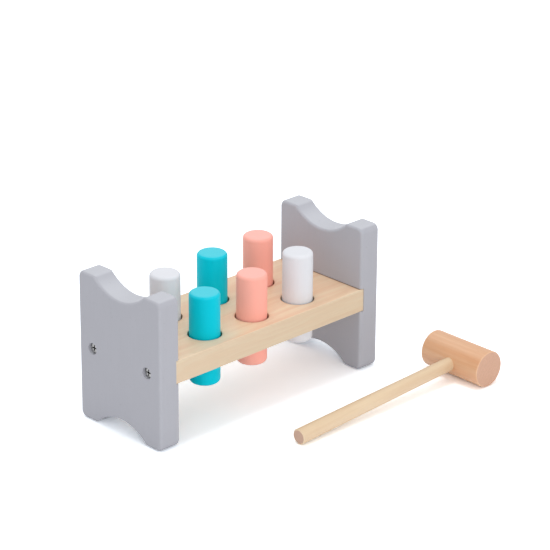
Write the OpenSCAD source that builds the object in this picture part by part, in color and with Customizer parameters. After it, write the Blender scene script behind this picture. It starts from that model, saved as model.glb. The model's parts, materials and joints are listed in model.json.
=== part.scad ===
// Peg pounding bench with its mallet, in millimetres.
// The bench stands on z = 0 with its middle at the origin, long side along X, front towards -Y.

/* [Bench] */
// Length over both end boards
bench_length = 232; // [200:1:280]

/* [End boards] */
// Depth of an end board, front to back
board_depth = 91.5; // [84:0.5:110]
// Height of an end board
board_height = 121.5; // [110:0.5:140]
// Thickness of an end board
board_thickness = 19.4; // [15:0.1:24]
// Width of each flat tip beside the scallop
tip_width = 17.5; // [12:0.5:22]
// Depth of the scallop on top and of the arch underneath
scallop_depth = 11.5; // [6:0.1:16]
// Rounding where a flat tip runs into the scallop
lip_round = 7; // [2:0.5:12]
// Rounding of the corners of an end board
corner_round = 5.5; // [5:0.5:10]
// Rounding of the edges of an end board
edge_round = 2.5; // [0.5:0.1:2.5]
// Depth of the housing that takes the end of the plank
housing_depth = 3.4; // [1:0.1:5]
// Gap over the plank in its housing
housing_gap = 0.4; // [0.1:0.1:1]

/* [Plank] */
// Thickness of the plank
plank_thickness = 19; // [14:0.5:22]
// Distance of the long sides of the plank behind the edges of the boards
plank_inset = 0.5; // [0:0.1:3]
// Rounding of the long edges of the plank
plank_round = 1; // [0.5:0.1:3]
// Rounding of the rims of the peg holes
hole_round = 0.6; // [0.2:0.1:1.2]

/* [Pegs] */
// Diameter of a peg
peg_diameter = 24; // [18:0.5:26]
// Length of a peg
peg_length = 74; // [60:0.5:80]
// Rounding of the ends of a peg
peg_round = 3; // [0.5:0.1:4]
// Gap between a peg and the wall of its hole
peg_gap = 1.2; // [0.5:0.05:1.5]
// Distance between columns of pegs
column_pitch = 49.4; // [36:0.1:54]
// Distance between the two rows of pegs
row_pitch = 44.5; // [36:0.1:48]

/* [Peg heights] */
// Height of the rear left peg above the plank
stand_rear_left = 36.9; // [20:0.1:50]
// Height of the rear middle peg above the plank
stand_rear_middle = 39.6; // [20:0.1:50]
// Height of the rear right peg above the plank
stand_rear_right = 40.7; // [20:0.1:50]
// Height of the front left peg above the plank
stand_front_left = 34.6; // [20:0.1:50]
// Height of the front middle peg above the plank
stand_front_middle = 36.1; // [20:0.1:50]
// Height of the front right peg above the plank
stand_front_right = 40; // [20:0.1:50]

/* [Grip rings] */
// Height of a rubber grip ring
ring_height = 3; // [2:0.1:5]
// Depth of the groove that seats a ring in the wall of its hole
groove_depth = 2; // [1:0.1:3]
// Running gap between a ring and its peg
ring_gap = 0.05; // [0.02:0.01:0.1]

/* [Screws] */
// Distance between the two screws of a board
screw_pitch = 61.4; // [40:0.1:70]
// Diameter of the shank
shank_diameter = 4; // [3:0.1:5]
// Length of the shank with its point
shank_length = 38; // [26:0.5:40]
// Length of the point
point_length = 6; // [3:0.5:9]
// Diameter of the head
head_diameter = 8.4; // [7:0.1:10]
// Height of the head
head_height = 2.4; // [1.8:0.1:3]
// Rounding of the head
head_round = 1; // [0.2:0.1:1.5]
// Depth of the top of the head below the face of the board
head_recess = 2; // [0.5:0.1:4]
// Gap round the head in its counterbore
head_gap = 0.4; // [0.2:0.1:1]
// Gap round the shank in the board
shank_gap = 0.2; // [0.1:0.05:0.5]
// Length of the arms of the cross recess, tip to tip
cross_length = 5; // [3:0.1:6]
// Width of an arm of the cross recess
cross_width = 1.1; // [0.6:0.1:1.6]
// Depth of the cross recess
cross_depth = 1.6; // [0.8:0.1:1.7]

/* [Mallet] */
// Diameter of the mallet's head
mallet_diameter = 29.4; // [24:0.1:40]
// Length of the mallet's head
mallet_length = 59.5; // [44:0.5:70]
// Rounding of the rims of the mallet's head
mallet_round = 1.4; // [0.4:0.1:3]
// Diameter of the handle at its free end
handle_diameter = 12.6; // [10:0.1:16]
// Diameter of the handle at the middle of the head
neck_diameter = 10.8; // [8:0.1:14]
// Length of the handle from the middle of the head
handle_reach = 181; // [140:1:220]
// Length of the handle past the middle of the head
handle_past = 6; // [2:0.5:9]
// Chamfer at the free end of the handle
handle_chamfer = 0.9; // [0.3:0.1:2]
// Distance of the mallet's head to the right of the bench's middle
mallet_right = 149.8; // [120:0.1:200]
// Distance of the mallet's head in front of the bench's middle
mallet_ahead = 105.9; // [96:0.1:160]
// Turn of the mallet on the table, in degrees
mallet_turn = -0.1; // [-2:0.1:2]

/* [Hidden] */
$fn = 96;
// Overrun of every cut past the face that it opens
overrun = 1;

middle_z = board_height / 2;
plank_top = middle_z + plank_thickness / 2;
plank_length = bench_length - 2 * board_thickness + 2 * housing_depth;

peg_radius = peg_diameter / 2;
hole_radius = peg_radius + peg_gap;
ring_inner = peg_radius + ring_gap;
ring_outer = hole_radius + groove_depth;

// The scallop is an arc through the inner ends of the two tips.
scallop_half = board_depth / 2 - tip_width;
scallop_radius = (scallop_half ^ 2 + scallop_depth ^ 2) / (2 * scallop_depth);
scallop_z = middle_z + scallop_radius - scallop_depth;

// The lip's arc touches the flat of the tip and the arc of the scallop.
lip_z = middle_z - lip_round;
lip_reach = scallop_radius + lip_round;
lip_y = sqrt(lip_reach ^ 2 - (scallop_z - lip_z) ^ 2);
touch_y = lip_y * scallop_radius / lip_reach;
touch_z = scallop_z - (scallop_z - lip_z) * scallop_radius / lip_reach;

mallet_radius = mallet_diameter / 2;
handle_radius = handle_diameter / 2;
neck_radius = neck_diameter / 2;
// The handle leans until its free end touches the table.
contact_reach = handle_reach - handle_chamfer;
contact_span = norm([contact_reach, handle_radius]);
handle_lean = asin(mallet_radius / contact_span) - atan(handle_radius / contact_reach);

paint_grey = "#bebec8";
paint_white = "#e8eaef";
paint_teal = "#00cee2";
paint_coral = "#fab8aa";
pale_wood = "#f0d2b2";
beech = "#eabb95";
steel = "#cdcfd3";
rubber = "#343436";

columns = 3;
rows = 2;
PEG_PLACES = ["rear_left", "rear_middle", "rear_right", "front_left", "front_middle", "front_right"];
peg_paints = [paint_white, paint_teal, paint_coral, paint_teal, paint_coral, paint_white];
peg_stands = [
    stand_rear_left, stand_rear_middle, stand_rear_right,
    stand_front_left, stand_front_middle, stand_front_right
];
PEGS = [0 : len(PEG_PLACES) - 1];

SCREW_PLACES = ["left_rear", "left_front", "right_rear", "right_front"];
SCREWS = [0 : len(SCREW_PLACES) - 1];

// Middle of a peg's hole on the plank, counted along the rear row and then the front row
function peg_xy(i) = [
    (i % columns - (columns - 1) / 2) * column_pitch,
    (i < columns ? 1 : -1) * row_pitch / 2
];

// Side of the bench and row of a screw, each -1 or 1
function screw_side(i) = i < rows ? -1 : 1;
function screw_row(i) = i % rows == 0 ? 1 : -1;

// Radius of the tapered handle at a distance from the head's middle towards the free end
function handle_at(distance) = neck_radius + (handle_radius - neck_radius) * distance / contact_reach;

// Rectangle with rounded corners, centred
module rounded_rectangle(width, height, radius) {
    square([width - 2 * radius, height], center = true);
    square([width, height - 2 * radius], center = true);
    for (x = [-1, 1], y = [-1, 1])
        translate([x * (width / 2 - radius), y * (height / 2 - radius)])
            circle(radius);
}

// Extrudes a (Y, Z) outline along X, centred
module along_x(length) {
    rotate([90, 0, 90])
        linear_extrude(length, center = true)
            children();
}

// Extrudes an (X, Z) outline along Y, centred
module along_y(length) {
    rotate([90, 0, 0])
        linear_extrude(length, center = true)
            children();
}

// Round bar with rounded rims, standing on its end
module round_bar(length, radius, rim) {
    rotate_extrude() {
        square([radius - rim, length]);
        translate([0, rim])
            square([radius, length - 2 * rim]);
        for (z = [rim, length - rim])
            translate([radius - rim, z])
                circle(rim);
    }
}

// Upright board with rounded corners and rounded edges, centred
module rounded_board(thickness, depth, height, corner, rim) {
    reach = corner + overrun;
    difference() {
        intersection() {
            along_y(depth)
                rounded_rectangle(thickness, height, rim);
            linear_extrude(height, center = true)
                rounded_rectangle(thickness, depth, rim);
        }
        for (y = [-1, 1], z = [-1, 1])
            translate([-thickness / 2, y * (depth / 2 - corner), z * (height / 2 - corner)])
                difference() {
                    translate([thickness / 2, y * reach / 2, z * reach / 2])
                        cube([thickness + 2 * overrun, reach, reach], center = true);
                    rotate([0, 90, 0])
                        round_bar(thickness, corner, rim);
                }
    }
}

// Cutter for a round cut through a board, flared so that both rims come out rounded
module flared_cut(radius, thickness, rim) {
    straight = thickness - 2 * rim;
    rotate_extrude()
        difference() {
            translate([0, -thickness / 2 - overrun])
                square([radius + rim, thickness + 2 * overrun]);
            translate([radius, -straight / 2])
                square([rim + overrun, straight]);
            for (end = [-1, 1])
                translate([radius + rim, end * straight / 2])
                    circle(rim);
        }
}

// Sliver that rounds the corner between a flat tip and the scallop
module lip_outline() {
    difference() {
        polygon([
            [lip_y, lip_z],
            [lip_y, middle_z + overrun],
            [touch_y, middle_z + overrun],
            [touch_y, touch_z]
        ]);
        translate([lip_y, lip_z])
            circle(lip_round);
    }
}

// Scallop with its lips, cut from the top of a board
module scallop_cut() {
    translate([0, 0, scallop_z])
        rotate([0, 90, 0])
            flared_cut(scallop_radius, board_thickness, edge_round);
    for (turn = [0, 180])
        rotate([0, 0, turn])
            along_x(board_thickness + 2 * overrun)
                lip_outline();
}

// End board about its middle, with its outer face towards +X
module end_board() {
    difference() {
        rounded_board(board_thickness, board_depth, board_height, corner_round, edge_round);
        for (turn = [0, 180])
            rotate([turn, 0, 0])
                scallop_cut();
        translate([-board_thickness / 2 - overrun, -board_depth / 2 - overrun, -plank_thickness / 2])
            cube([housing_depth + overrun, board_depth + 2 * overrun, plank_thickness + housing_gap]);
        for (row = [-1, 1])
            translate([board_thickness / 2, row * screw_pitch / 2, 0])
                rotate([0, 90, 0])
                    screw_bore();
    }
}

// Counterbore and clearance bore of a screw, opening at z = 0
module screw_bore() {
    seat = head_recess + head_height;
    translate([0, 0, -seat])
        cylinder(h = seat + overrun, r = head_diameter / 2 + head_gap);
    translate([0, 0, -board_thickness - overrun])
        cylinder(h = board_thickness + overrun, r = shank_diameter / 2 + shank_gap);
}

module left_end_board() {
    color(paint_grey)
        translate([-(bench_length - board_thickness) / 2, 0, middle_z])
            rotate([0, 0, 180])
                end_board();
}

module right_end_board() {
    color(paint_grey)
        translate([(bench_length - board_thickness) / 2, 0, middle_z])
            end_board();
}

// Plank with its peg holes, the ring grooves in their walls and the screws' pilot holes
module plank() {
    color(pale_wood)
        difference() {
            translate([0, 0, middle_z])
                along_x(plank_length)
                    rounded_rectangle(board_depth - 2 * plank_inset, plank_thickness, plank_round);
            for (i = PEGS)
                translate([peg_xy(i).x, peg_xy(i).y, middle_z]) {
                    flared_cut(hole_radius, plank_thickness, hole_round);
                    cylinder(h = ring_height, r = ring_outer, center = true);
                }
            for (i = SCREWS)
                at_screw(i)
                    screw_shank();
        }
}

// Rubber ring that fills its groove and grips the peg with a half-round lip
module grip_ring(i) {
    lip = ring_height / 2;
    color(rubber)
        translate([peg_xy(i).x, peg_xy(i).y, middle_z])
            rotate_extrude() {
                translate([ring_inner + lip, 0])
                    circle(lip);
                translate([ring_inner + lip, -lip])
                    square([ring_outer - ring_inner - lip, ring_height]);
            }
}

module peg(i) {
    color(peg_paints[i])
        translate([peg_xy(i).x, peg_xy(i).y, plank_top + peg_stands[i] - peg_length])
            round_bar(peg_length, peg_radius, peg_round);
}

// Puts a screw at its place, with the top of its head at z = 0 and +Z out of the board
module at_screw(i) {
    side = screw_side(i);
    translate([side * (bench_length / 2 - head_recess), screw_row(i) * screw_pitch / 2, middle_z])
        rotate([0, side * 90, 0])
            children();
}

// Shank with its point, from the seat of the head inwards
module screw_shank() {
    straight = shank_length - point_length;
    translate([0, 0, -head_height - straight])
        cylinder(h = straight, d = shank_diameter);
    translate([0, 0, -head_height - shank_length])
        cylinder(h = point_length, d1 = 0, d2 = shank_diameter);
}

// Round head with a cross recess
module screw_head() {
    radius = head_diameter / 2;
    difference() {
        translate([0, 0, -head_height])
            rotate_extrude() {
                square([radius - head_round, head_height]);
                square([radius, head_height - head_round]);
                translate([radius - head_round, head_height - head_round])
                    circle(head_round);
            }
        for (turn = [0, 90])
            rotate([0, 0, turn])
                translate([-cross_length / 2, -cross_width / 2, -cross_depth])
                    cube([cross_length, cross_width, cross_depth + overrun]);
    }
}

module screw(i) {
    color(steel)
        at_screw(i) {
            screw_head();
            screw_shank();
        }
}

// Puts the mallet on the table, with its head's middle at the origin and its handle towards -X
module at_mallet() {
    translate([mallet_right, -mallet_ahead, mallet_radius])
        rotate([0, 0, mallet_turn])
            rotate([0, -handle_lean, 0])
                children();
}

// Tapered rod that fills the blind bore in the head and reaches out of it along -X
module handle_rod(reach) {
    translate([-reach, 0, 0])
        rotate([0, 90, 0])
            cylinder(h = reach + handle_past, r1 = handle_at(reach), r2 = handle_at(-handle_past));
}

module mallet_head() {
    color(beech)
        at_mallet()
            difference() {
                translate([0, mallet_length / 2, 0])
                    rotate([90, 0, 0])
                        round_bar(mallet_length, mallet_radius, mallet_round);
                handle_rod(mallet_radius + overrun);
            }
}

module mallet_handle() {
    color(pale_wood)
        at_mallet() {
            handle_rod(contact_reach);
            translate([-handle_reach, 0, 0])
                rotate([0, 90, 0])
                    cylinder(h = handle_chamfer, r1 = handle_radius - handle_chamfer, r2 = handle_radius);
        }
}

left_end_board();
right_end_board();
plank();
for (i = PEGS) {
    grip_ring(i);
    peg(i);
}
for (i = SCREWS)
    screw(i);
mallet_head();
mallet_handle();
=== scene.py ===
"""Looks of the peg pounding bench and its mallet: satin paints, clear-finished woods, steel and rubber.

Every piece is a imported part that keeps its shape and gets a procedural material. Sizes are in
millimetres where a name ends in _mm, and otherwise in metres, which is the frame's own unit.
"""

import json
import math

import bpy
from mathutils import Matrix, Vector


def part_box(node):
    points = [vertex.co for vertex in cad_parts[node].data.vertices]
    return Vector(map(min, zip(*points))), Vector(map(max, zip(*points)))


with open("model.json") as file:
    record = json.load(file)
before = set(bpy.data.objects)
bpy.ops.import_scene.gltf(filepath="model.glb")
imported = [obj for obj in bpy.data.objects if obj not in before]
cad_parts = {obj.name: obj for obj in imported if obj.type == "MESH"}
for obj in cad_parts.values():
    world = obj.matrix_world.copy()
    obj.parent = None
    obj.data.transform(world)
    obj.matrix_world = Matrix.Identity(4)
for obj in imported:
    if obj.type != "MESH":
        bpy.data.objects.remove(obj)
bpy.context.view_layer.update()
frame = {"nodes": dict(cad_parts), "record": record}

MM = 0.001
X = Vector((1, 0, 0))
Y = Vector((0, 1, 0))
Z = Vector((0, 0, 1))

# Numbers of the sockets that a Mix node uses for colours
MIX_SHARE, MIX_FIRST, MIX_SECOND, MIX_RESULT = 0, 6, 7, 2


def paint_code(red, green, blue):
    """Linear colour of an sRGB colour that is given in 0 to 255."""
    shares = [channel / 255 for channel in (red, green, blue)]
    linear = [s / 12.92 if s <= 0.04045 else ((s + 0.055) / 1.055) ** 2.4 for s in shares]
    return (*linear, 1.0)


# Colours of the paints. The lighter second colour of each paint is laid on rims as wear and partly as a
# painted sheen, and on level faces as a painted sheen
GREY = paint_code(178, 179, 187)
GREY_WORN_AND_SHEEN = paint_code(199, 201, 208)
WHITE = paint_code(225, 227, 233)
WHITE_WORN_AND_SHEEN = paint_code(234, 234, 237)
TEAL = paint_code(0, 201, 222)
TEAL_WORN_AND_SHEEN = paint_code(92, 210, 225)
CORAL = paint_code(255, 178, 163)
CORAL_WORN_AND_SHEEN = paint_code(255, 191, 181)
SPECK = paint_code(120, 116, 116)

# Colours of the woods
PLANK_PALE = paint_code(236, 211, 179)
PLANK_TAN = paint_code(231, 190, 156)
PLANK_STREAK = paint_code(207, 165, 124)
PLANK_EDGE = paint_code(208, 192, 164)
PLANK_END = paint_code(186, 152, 118)
# Dark joint line of the plank, partly a painted shade of the gap in the housings
PLANK_JOINT_AND_SHADE = paint_code(146, 108, 80)
HEAD_PALE = paint_code(226, 180, 141)
HEAD_TAN = paint_code(216, 159, 115)
HEAD_STREAK = paint_code(187, 125, 84)
HEAD_END = paint_code(203, 158, 131)
HANDLE_PALE = paint_code(226, 202, 168)
HANDLE_TAN = paint_code(217, 188, 153)
HANDLE_STREAK = paint_code(208, 171, 131)
HANDLE_END = paint_code(194, 158, 137)
# Painted highlight along the rounded edges of the woods
WOOD_ARRIS_HIGHLIGHT = paint_code(250, 234, 210)

# Colours of the hardware and of the floor
STEEL = paint_code(166, 164, 162)
# Painted shade that darkens the screws' cross recesses
STEEL_RECESS_SHADE = paint_code(18, 17, 18)
RUBBER = paint_code(52, 52, 54)
FLOOR = paint_code(244, 244, 245)


class Finish:
    """A material's node tree, built by calls that return sockets to join up."""

    def __init__(self, name):
        self.material = bpy.data.materials.new(name)
        self.material.use_nodes = True
        self.tree = self.material.node_tree
        self.tree.nodes.clear()
        self.coordinates = self.node("TexCoord")
        self.place = self.coordinates.outputs["Object"]
        self.normal = self.coordinates.outputs["Normal"]

    def node(self, kind, inputs=None, **settings):
        """Adds a node with the given settings, and feeds its inputs."""
        made = self.tree.nodes.new("ShaderNode" + kind)
        for name, value in settings.items():
            setattr(made, name, value)
        for name, value in (inputs or {}).items():
            self.feed(made.inputs[name], value)
        return made

    def feed(self, socket, value):
        """Links a socket to another one, or sets its own value."""
        if isinstance(value, bpy.types.NodeSocket):
            self.tree.links.new(value, socket)
        else:
            socket.default_value = value

    def math(self, operation, first, second=0.0):
        return self.node("Math", {0: first, 1: second}, operation=operation).outputs[0]

    def vector(self, operation, first, second):
        return self.node("VectorMath", {0: first, 1: second}, operation=operation).outputs["Vector"]

    def length(self, vector):
        return self.node("VectorMath", {0: vector}, operation="LENGTH").outputs["Value"]

    def along(self, vector, axis):
        """Absolute share of a vector along an axis."""
        dot = self.node("VectorMath", {0: vector, 1: axis}, operation="DOT_PRODUCT").outputs["Value"]
        return self.math("ABSOLUTE", dot)

    def smooth(self, value, start, end):
        """0 before start, 1 after end and a smooth step between them."""
        bounds = {"Value": value, "From Min": start, "From Max": end}
        return self.node("MapRange", bounds, interpolation_type="SMOOTHSTEP").outputs["Result"]

    def spread(self, value, low, high):
        """A 0 to 1 value spread from low to high."""
        return self.node("MapRange", {"Value": value, "To Min": low, "To Max": high}).outputs["Result"]

    def set_in(self, middle, turn):
        """Place on the piece, counted from its middle along its own turned axes."""
        inputs = {"Vector": self.place, "Location": middle, "Rotation": turn}
        return self.node("Mapping", inputs, vector_type="TEXTURE").outputs["Vector"]

    def noise(self, place, size_mm, detail=2.0, roughness=0.5):
        """Noise whose features have about the given size in millimetres along each axis."""
        scaled = self.vector("MULTIPLY", place, [1 / (size * MM) for size in size_mm])
        inputs = {"Vector": scaled, "Scale": 1.0, "Detail": detail, "Roughness": roughness}
        return self.node("TexNoise", inputs).outputs["Fac"]

    def mix(self, share, first, second, blend="MIX"):
        made = self.node("Mix", data_type="RGBA", blend_type=blend)
        self.feed(made.inputs[MIX_SHARE], share)
        self.feed(made.inputs[MIX_FIRST], first)
        self.feed(made.inputs[MIX_SECOND], second)
        return made.outputs[MIX_RESULT]

    def tint(self, over, mask, colour, strength):
        """Colour laid over another one where a 0 to 1 mask says, at a given strength."""
        return self.mix(self.math("MULTIPLY", mask, strength), over, colour)

    def shade(self, colour, value, contrast):
        """Colour made lighter and darker by a 0 to 1 value, by up to half the contrast each way."""
        factor = self.spread(value, 1 - contrast / 2, 1 + contrast / 2)
        return self.mix(1.0, colour, factor, "MULTIPLY")

    def rim(self, axis):
        """1 on a rounding halfway between an axis and any direction square to it, 0 on flat faces."""
        share = self.along(self.normal, axis)
        square = self.math("MULTIPLY", share, share)
        product = self.math("MULTIPLY", square, self.math("SUBTRACT", 1.0, square))
        return self.smooth(product, start=0.03, end=0.25)

    def bump(self, heights):
        """Normal from a list of (height socket, depth in millimetres) pairs."""
        total = None
        for height, depth_mm in heights:
            part = self.math("MULTIPLY", height, depth_mm * MM)
            total = part if total is None else self.math("ADD", total, part)
        return self.node("Bump", {"Height": total, "Strength": 1.0, "Distance": 1.0}).outputs["Normal"]

    def done(self, colour, roughness, normal, specular=0.5, metallic=0.0):
        """The finished material, with its shader joined to the output."""
        inputs = {
            "Base Color": colour, "Roughness": roughness, "Normal": normal,
            "Specular IOR Level": specular, "Metallic": metallic,
        }
        shader = self.node("BsdfPrincipled", inputs)
        self.node("OutputMaterial", {"Surface": shader.outputs[0]})
        return self.material


def satin_paint(name, colour, worn_and_sheen, axis, gloss, specks, ends):
    """Sprayed satin paint over sanded wood: faint grain under it, orange peel, rims lighter from wear and a
    painted sheen, a painted sheen on level faces and a few specks.

    axis is the direction that the piece's flat faces look in, gloss the middle of its roughness, specks
    the strength of the specks, and ends the share of the lighter second colour painted on its level faces as
    a painted sheen.
    """
    f = Finish(name)
    grain = f.noise(f.place, size_mm=(1.1, 1.1, 34), detail=4)
    cloud = f.noise(f.place, size_mm=(24, 24, 30))
    peel = f.noise(f.place, size_mm=(0.9, 0.9, 0.9), detail=1)
    scuff = f.noise(f.place, size_mm=(6, 6, 6), detail=5, roughness=0.7)
    speck = f.smooth(f.noise(f.place, size_mm=(1.6, 1.6, 1.6), detail=0), start=0.78, end=0.84)
    # Rims lighter from wear, broken up by scuffs, and partly a painted sheen
    rim_wear_and_sheen = f.math("MULTIPLY", f.rim(axis), f.smooth(scuff, start=0.25, end=0.65))
    level = f.smooth(f.along(f.normal, Z), start=0.7, end=0.95)
    body = f.shade(colour, cloud, contrast=0.05)
    body = f.shade(body, grain, contrast=0.04)
    body = f.tint(body, rim_wear_and_sheen, worn_and_sheen, strength=0.2)
    # Painted sheen: level faces made lighter with the second colour, at the share ends
    body = f.tint(body, level, worn_and_sheen, strength=ends)
    body = f.tint(body, speck, SPECK, strength=specks)
    cloudy = f.spread(cloud, low=gloss - 0.05, high=gloss + 0.05)
    roughness = f.math("ADD", cloudy, f.spread(scuff, low=-0.06, high=0.06))
    normal = f.bump([(grain, 0.014), (peel, 0.006), (speck, 0.01)])
    return f.done(body, roughness, normal, specular=0.08)


def growth_rings(f, place, ring_mm, pith_mm):
    """1 in the late wood of growth rings round a pith beside the piece, and 0 in the early wood."""
    sway_in_rings = 5
    sway = f.noise(place, size_mm=(90, 26, 26), detail=3)
    from_pith = f.vector("SUBTRACT", place, [0, pith_mm[0] * MM, pith_mm[1] * MM])
    radius = f.length(f.vector("MULTIPLY", from_pith, [0, 1, 1]))
    swayed = f.math("ADD", radius, f.math("MULTIPLY", sway, sway_in_rings * ring_mm * MM))
    ring = f.math("FRACT", f.math("DIVIDE", swayed, ring_mm * MM))
    before_edge = f.math("SUBTRACT", 1.0, f.smooth(ring, start=0.85, end=1.0))
    return f.math("MULTIPLY", f.smooth(ring, start=0.1, end=0.8), before_edge)


def clear_wood(
    name, middle, turn, axis, colours, ring_mm, pith_mm, ring_share, edge=None, joint_reach=None
):
    """Clear-finished wood: soft bands and growth rings along the piece, fibres, ray flecks and end grain.

    turn sets the piece's own X axis along the grain, and axis is the direction that its end faces look in.
    ring_mm is the width of the growth rings, pith_mm the place of the pith across the grain and ring_share
    the strength of the rings. edge is the colour of the front and back faces, where that differs.
    joint_reach is how far from its middle the piece shows before it goes into its housings, where a dark
    joint line, partly a painted shade of the gap, lies on its level faces.
    """
    pale, tan, streak, end = colours
    f = Finish(name)
    place = f.set_in(middle, turn)
    late = growth_rings(f, place, ring_mm, pith_mm)
    band = f.noise(place, size_mm=(130, 7, 7), detail=3)
    fibre = f.noise(place, size_mm=(40, 0.9, 0.9), detail=4, roughness=0.6)
    pore = f.noise(place, size_mm=(7, 0.4, 0.4))
    fleck = f.smooth(f.noise(place, size_mm=(4.5, 0.6, 0.6), detail=1), start=0.64, end=0.74)
    mottle = f.noise(place, size_mm=(1.4, 1.4, 1.4), detail=4, roughness=0.65)

    body = f.mix(f.smooth(band, start=0.25, end=0.75), pale, tan)
    if edge is not None:
        front_back = f.smooth(f.along(f.normal, Y), start=0.4, end=0.8)
        body = f.tint(body, front_back, edge, strength=0.7)
    body = f.tint(body, late, streak, strength=ring_share)
    body = f.shade(body, fibre, contrast=0.13)
    body = f.shade(body, pore, contrast=0.06)
    body = f.tint(body, fleck, streak, strength=0.12)

    cut = f.smooth(f.along(f.normal, axis), start=0.75, end=0.92)
    end_body = f.shade(f.tint(end, late, streak, strength=ring_share), mottle, contrast=0.3)
    body = f.mix(cut, body, end_body)
    # Painted highlight: a light line along the rounded edges
    arris_highlight = f.rim(axis if edge is None else Y)
    body = f.tint(body, arris_highlight, WOOD_ARRIS_HIGHLIGHT, strength=0.12)
    # Dark joint line where the plank goes into its housings: a glue line and partly a painted shade of the
    # gap
    if joint_reach is not None:
        line = f.smooth(f.along(place, X), start=joint_reach - 0.9 * MM, end=joint_reach - 0.3 * MM)
        level = f.smooth(f.along(f.normal, Z), start=0.95, end=1.0)
        body = f.tint(body, f.math("MULTIPLY", line, level), PLANK_JOINT_AND_SHADE, strength=0.8)

    rougher_end = f.math("MULTIPLY", cut, 0.12)
    roughness = f.math("ADD", f.spread(fibre, low=0.36, high=0.52), rougher_end)
    normal = f.bump([(fibre, 0.02), (pore, 0.01), (f.math("MULTIPLY", mottle, cut), 0.04)])
    return f.done(body, roughness, normal, specular=0.8)


def zinc_steel(name, head_top):
    """Zinc-plated screw with a cloudy plating, and a painted shade that darkens its cross recess.

    head_top is how far the face of the head lies from the middle of the bench.
    """
    f = Finish(name)
    cloud = f.noise(f.place, size_mm=(1.4, 1.4, 1.4), detail=4)
    grain = f.noise(f.place, size_mm=(0.3, 0.3, 0.3))
    depth = f.math("SUBTRACT", head_top, f.along(f.place, X))
    # Painted shade: darker below the face of the head, so the cross recess and the flank of the head read
    # dark
    recess_shade = f.smooth(depth, start=0.05 * MM, end=0.5 * MM)
    colour = f.mix(recess_shade, f.shade(STEEL, cloud, contrast=0.2), STEEL_RECESS_SHADE)
    rougher_recess = f.math("MULTIPLY", recess_shade, 0.3)
    roughness = f.math("ADD", f.spread(cloud, low=0.32, high=0.5), rougher_recess)
    return f.done(colour, roughness, f.bump([(grain, 0.01)]), metallic=1.0)


def matt_rubber(name):
    """Moulded rubber with a fine grain."""
    f = Finish(name)
    grain = f.noise(f.place, size_mm=(0.4, 0.4, 0.4), detail=3)
    cloud = f.noise(f.place, size_mm=(5, 5, 5))
    colour = f.shade(RUBBER, cloud, contrast=0.3)
    roughness = f.spread(grain, low=0.65, high=0.85)
    return f.done(colour, roughness, f.bump([(grain, 0.02)]), specular=0.3)


def middle_of(node):
    low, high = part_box(node)
    return (low + high) / 2


def handle_lean():
    """Angle at which the mallet's handle slopes from the middle of its head down to the table."""
    head = middle_of("mallet_head")
    low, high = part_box("mallet_handle")
    end_radius = (high.y - low.y) / 2
    return math.atan2(head.z - end_radius, head.x - low.x)


def dress_parts():
    """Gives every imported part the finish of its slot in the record."""
    head_top = max(abs(corner.x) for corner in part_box("screw_left_front"))
    finishes = {
        "grey_paint": satin_paint("grey_satin", GREY, GREY_WORN_AND_SHEEN, X, gloss=0.5, specks=0.1, ends=0.8),
        "white_paint": satin_paint("white_satin", WHITE, WHITE_WORN_AND_SHEEN, Z, gloss=0.42, specks=0.0, ends=0.0),
        "teal_paint": satin_paint("teal_satin", TEAL, TEAL_WORN_AND_SHEEN, Z, gloss=0.42, specks=0.0, ends=0.75),
        "coral_paint": satin_paint("coral_satin", CORAL, CORAL_WORN_AND_SHEEN, Z, gloss=0.42, specks=0.0, ends=0.8),
        "plank_wood": clear_wood(
            "plank_lacquer", middle_of("plank"), turn=(0, 0, 0), axis=X,
            colours=(PLANK_PALE, PLANK_TAN, PLANK_STREAK, PLANK_END),
            ring_mm=5, pith_mm=(15, -70), ring_share=0.12,
            edge=PLANK_EDGE, joint_reach=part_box("right_end_board")[0].x,
        ),
        "mallet_head_wood": clear_wood(
            "head_lacquer", middle_of("mallet_head"), turn=(0, 0, math.radians(90)), axis=Y,
            colours=(HEAD_PALE, HEAD_TAN, HEAD_STREAK, HEAD_END),
            ring_mm=4, pith_mm=(30, 12), ring_share=0.08,
        ),
        "mallet_handle_wood": clear_wood(
            "handle_lacquer", middle_of("mallet_handle"), turn=(0, -handle_lean(), 0), axis=X,
            colours=(HANDLE_PALE, HANDLE_TAN, HANDLE_STREAK, HANDLE_END),
            ring_mm=3, pith_mm=(9, -11), ring_share=0.1,
        ),
        "screw_steel": zinc_steel("zinc_plate", head_top),
        "grip_rubber": matt_rubber("grip_rubber_matt"),
    }
    for part in frame["record"]["subparts"]:
        piece = frame["nodes"][part["node"]]
        piece.material_slots[0].material = finishes[part["material_slot"]]


def seen_rays(tree):
    """1 for the rays that show the background: straight from the camera, mirrored or through glass."""
    path = tree.nodes.new("ShaderNodeLightPath")
    total = path.outputs["Is Camera Ray"]
    for name in ("Is Glossy Ray", "Is Transmission Ray"):
        most = tree.nodes.new("ShaderNodeMath")
        most.operation = "MAXIMUM"
        tree.links.new(total, most.inputs[0])
        tree.links.new(path.outputs[name], most.inputs[1])
        total = most.outputs[0]
    return total


def white_world(ambient):
    """Even light all round, with plain white behind the object."""
    world = bpy.data.worlds.new("studio")
    bpy.context.scene.world = world
    world.use_nodes = True
    tree = world.node_tree
    tree.nodes.clear()
    strength = tree.nodes.new("ShaderNodeMapRange")
    tree.links.new(seen_rays(tree), strength.inputs["Value"])
    strength.inputs["To Min"].default_value = ambient
    strength.inputs["To Max"].default_value = 1.0
    background = tree.nodes.new("ShaderNodeBackground")
    tree.links.new(strength.outputs["Result"], background.inputs["Strength"])
    background.inputs["Color"].default_value = (1, 1, 1, 1)
    output = tree.nodes.new("ShaderNodeOutputWorld")
    tree.links.new(background.outputs[0], output.inputs["Surface"])


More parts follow.
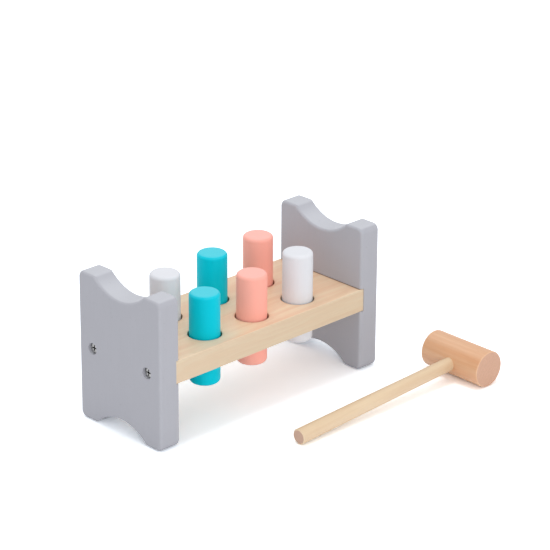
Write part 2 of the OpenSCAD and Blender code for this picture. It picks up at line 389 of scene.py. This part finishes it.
def white_floor(half_width, drop, seen_colour):
    """Pale floor that shows as white where it is lit, and keeps the soft shadow under the bench."""
    corners = [(-1, -1), (1, -1), (1, 1), (-1, 1)]
    mesh = bpy.data.meshes.new("floor")
    mesh.from_pydata([(x * half_width, y * half_width, -drop) for x, y in corners], [], [(0, 1, 2, 3)])
    floor = bpy.data.objects.new("floor", mesh)
    bpy.context.scene.collection.objects.link(floor)
    material = bpy.data.materials.new("floor_white")
    material.use_nodes = True
    tree = material.node_tree
    tree.nodes.clear()
    lit = tree.nodes.new("ShaderNodeBsdfDiffuse")
    lit.inputs["Color"].default_value = FLOOR
    seen = tree.nodes.new("ShaderNodeBsdfDiffuse")
    seen.inputs["Color"].default_value = (*seen_colour, 1)
    either = tree.nodes.new("ShaderNodeMixShader")
    tree.links.new(seen_rays(tree), either.inputs["Fac"])
    tree.links.new(lit.outputs[0], either.inputs[1])
    tree.links.new(seen.outputs[0], either.inputs[2])
    output = tree.nodes.new("ShaderNodeOutputMaterial")
    tree.links.new(either.outputs[0], output.inputs["Surface"])
    mesh.materials.append(material)


def soft_lamp(name, place, size, power):
    """Round soft lamp aimed at the middle of the bench."""
    aim = Vector((0, 0, 50)) * MM
    lamp = bpy.data.lights.new(name, "AREA")
    lamp.shape = "DISK"
    lamp.size = size
    lamp.energy = power
    made = bpy.data.objects.new(name, lamp)
    bpy.context.scene.collection.objects.link(made)
    made.location = place
    made.rotation_euler = (aim - Vector(place)).to_track_quat("-Z", "Y").to_euler()


def photo_camera():
    """Camera at the photograph's viewing angle: swung round an aim point, tilted down and levelled."""
    aim = Vector((33.1, -13.8, 91.8)) * MM
    distance = 2.1204
    azimuth, elevation, roll = (math.radians(angle) for angle in (-44.42, 22.74, 0.36))
    data = bpy.data.cameras.new("photo_camera")
    data.sensor_width = 36
    data.lens = 178.8
    camera = bpy.data.objects.new("photo_camera", data)
    bpy.context.scene.collection.objects.link(camera)
    tilt = Matrix.Rotation(math.radians(90) - elevation, 4, "X")
    turn = Matrix.Rotation(azimuth, 4, "Z") @ tilt @ Matrix.Rotation(roll, 4, "Z")
    camera.matrix_world = Matrix.Translation(aim) @ turn @ Matrix.Translation((0, 0, distance))
    bpy.context.scene.camera = camera


bpy.context.scene.view_settings.view_transform = "Standard"
photo_camera()
dress_parts()
white_world(ambient=0.74)
white_floor(half_width=6.0, drop=0.1 * MM, seen_colour=(1.47, 1.53, 1.59))
soft_lamp("overhead", place=(0, 0, 1.7), size=0.5, power=5.2)
soft_lamp("front_left", place=(-0.9, -1.67, 0.6), size=0.8, power=7.5)
soft_lamp("front_right", place=(0.9, -1.67, 0.6), size=0.8, power=2.1)
soft_lamp("back", place=(0, 1.2, 1.8), size=1.3, power=4.4)
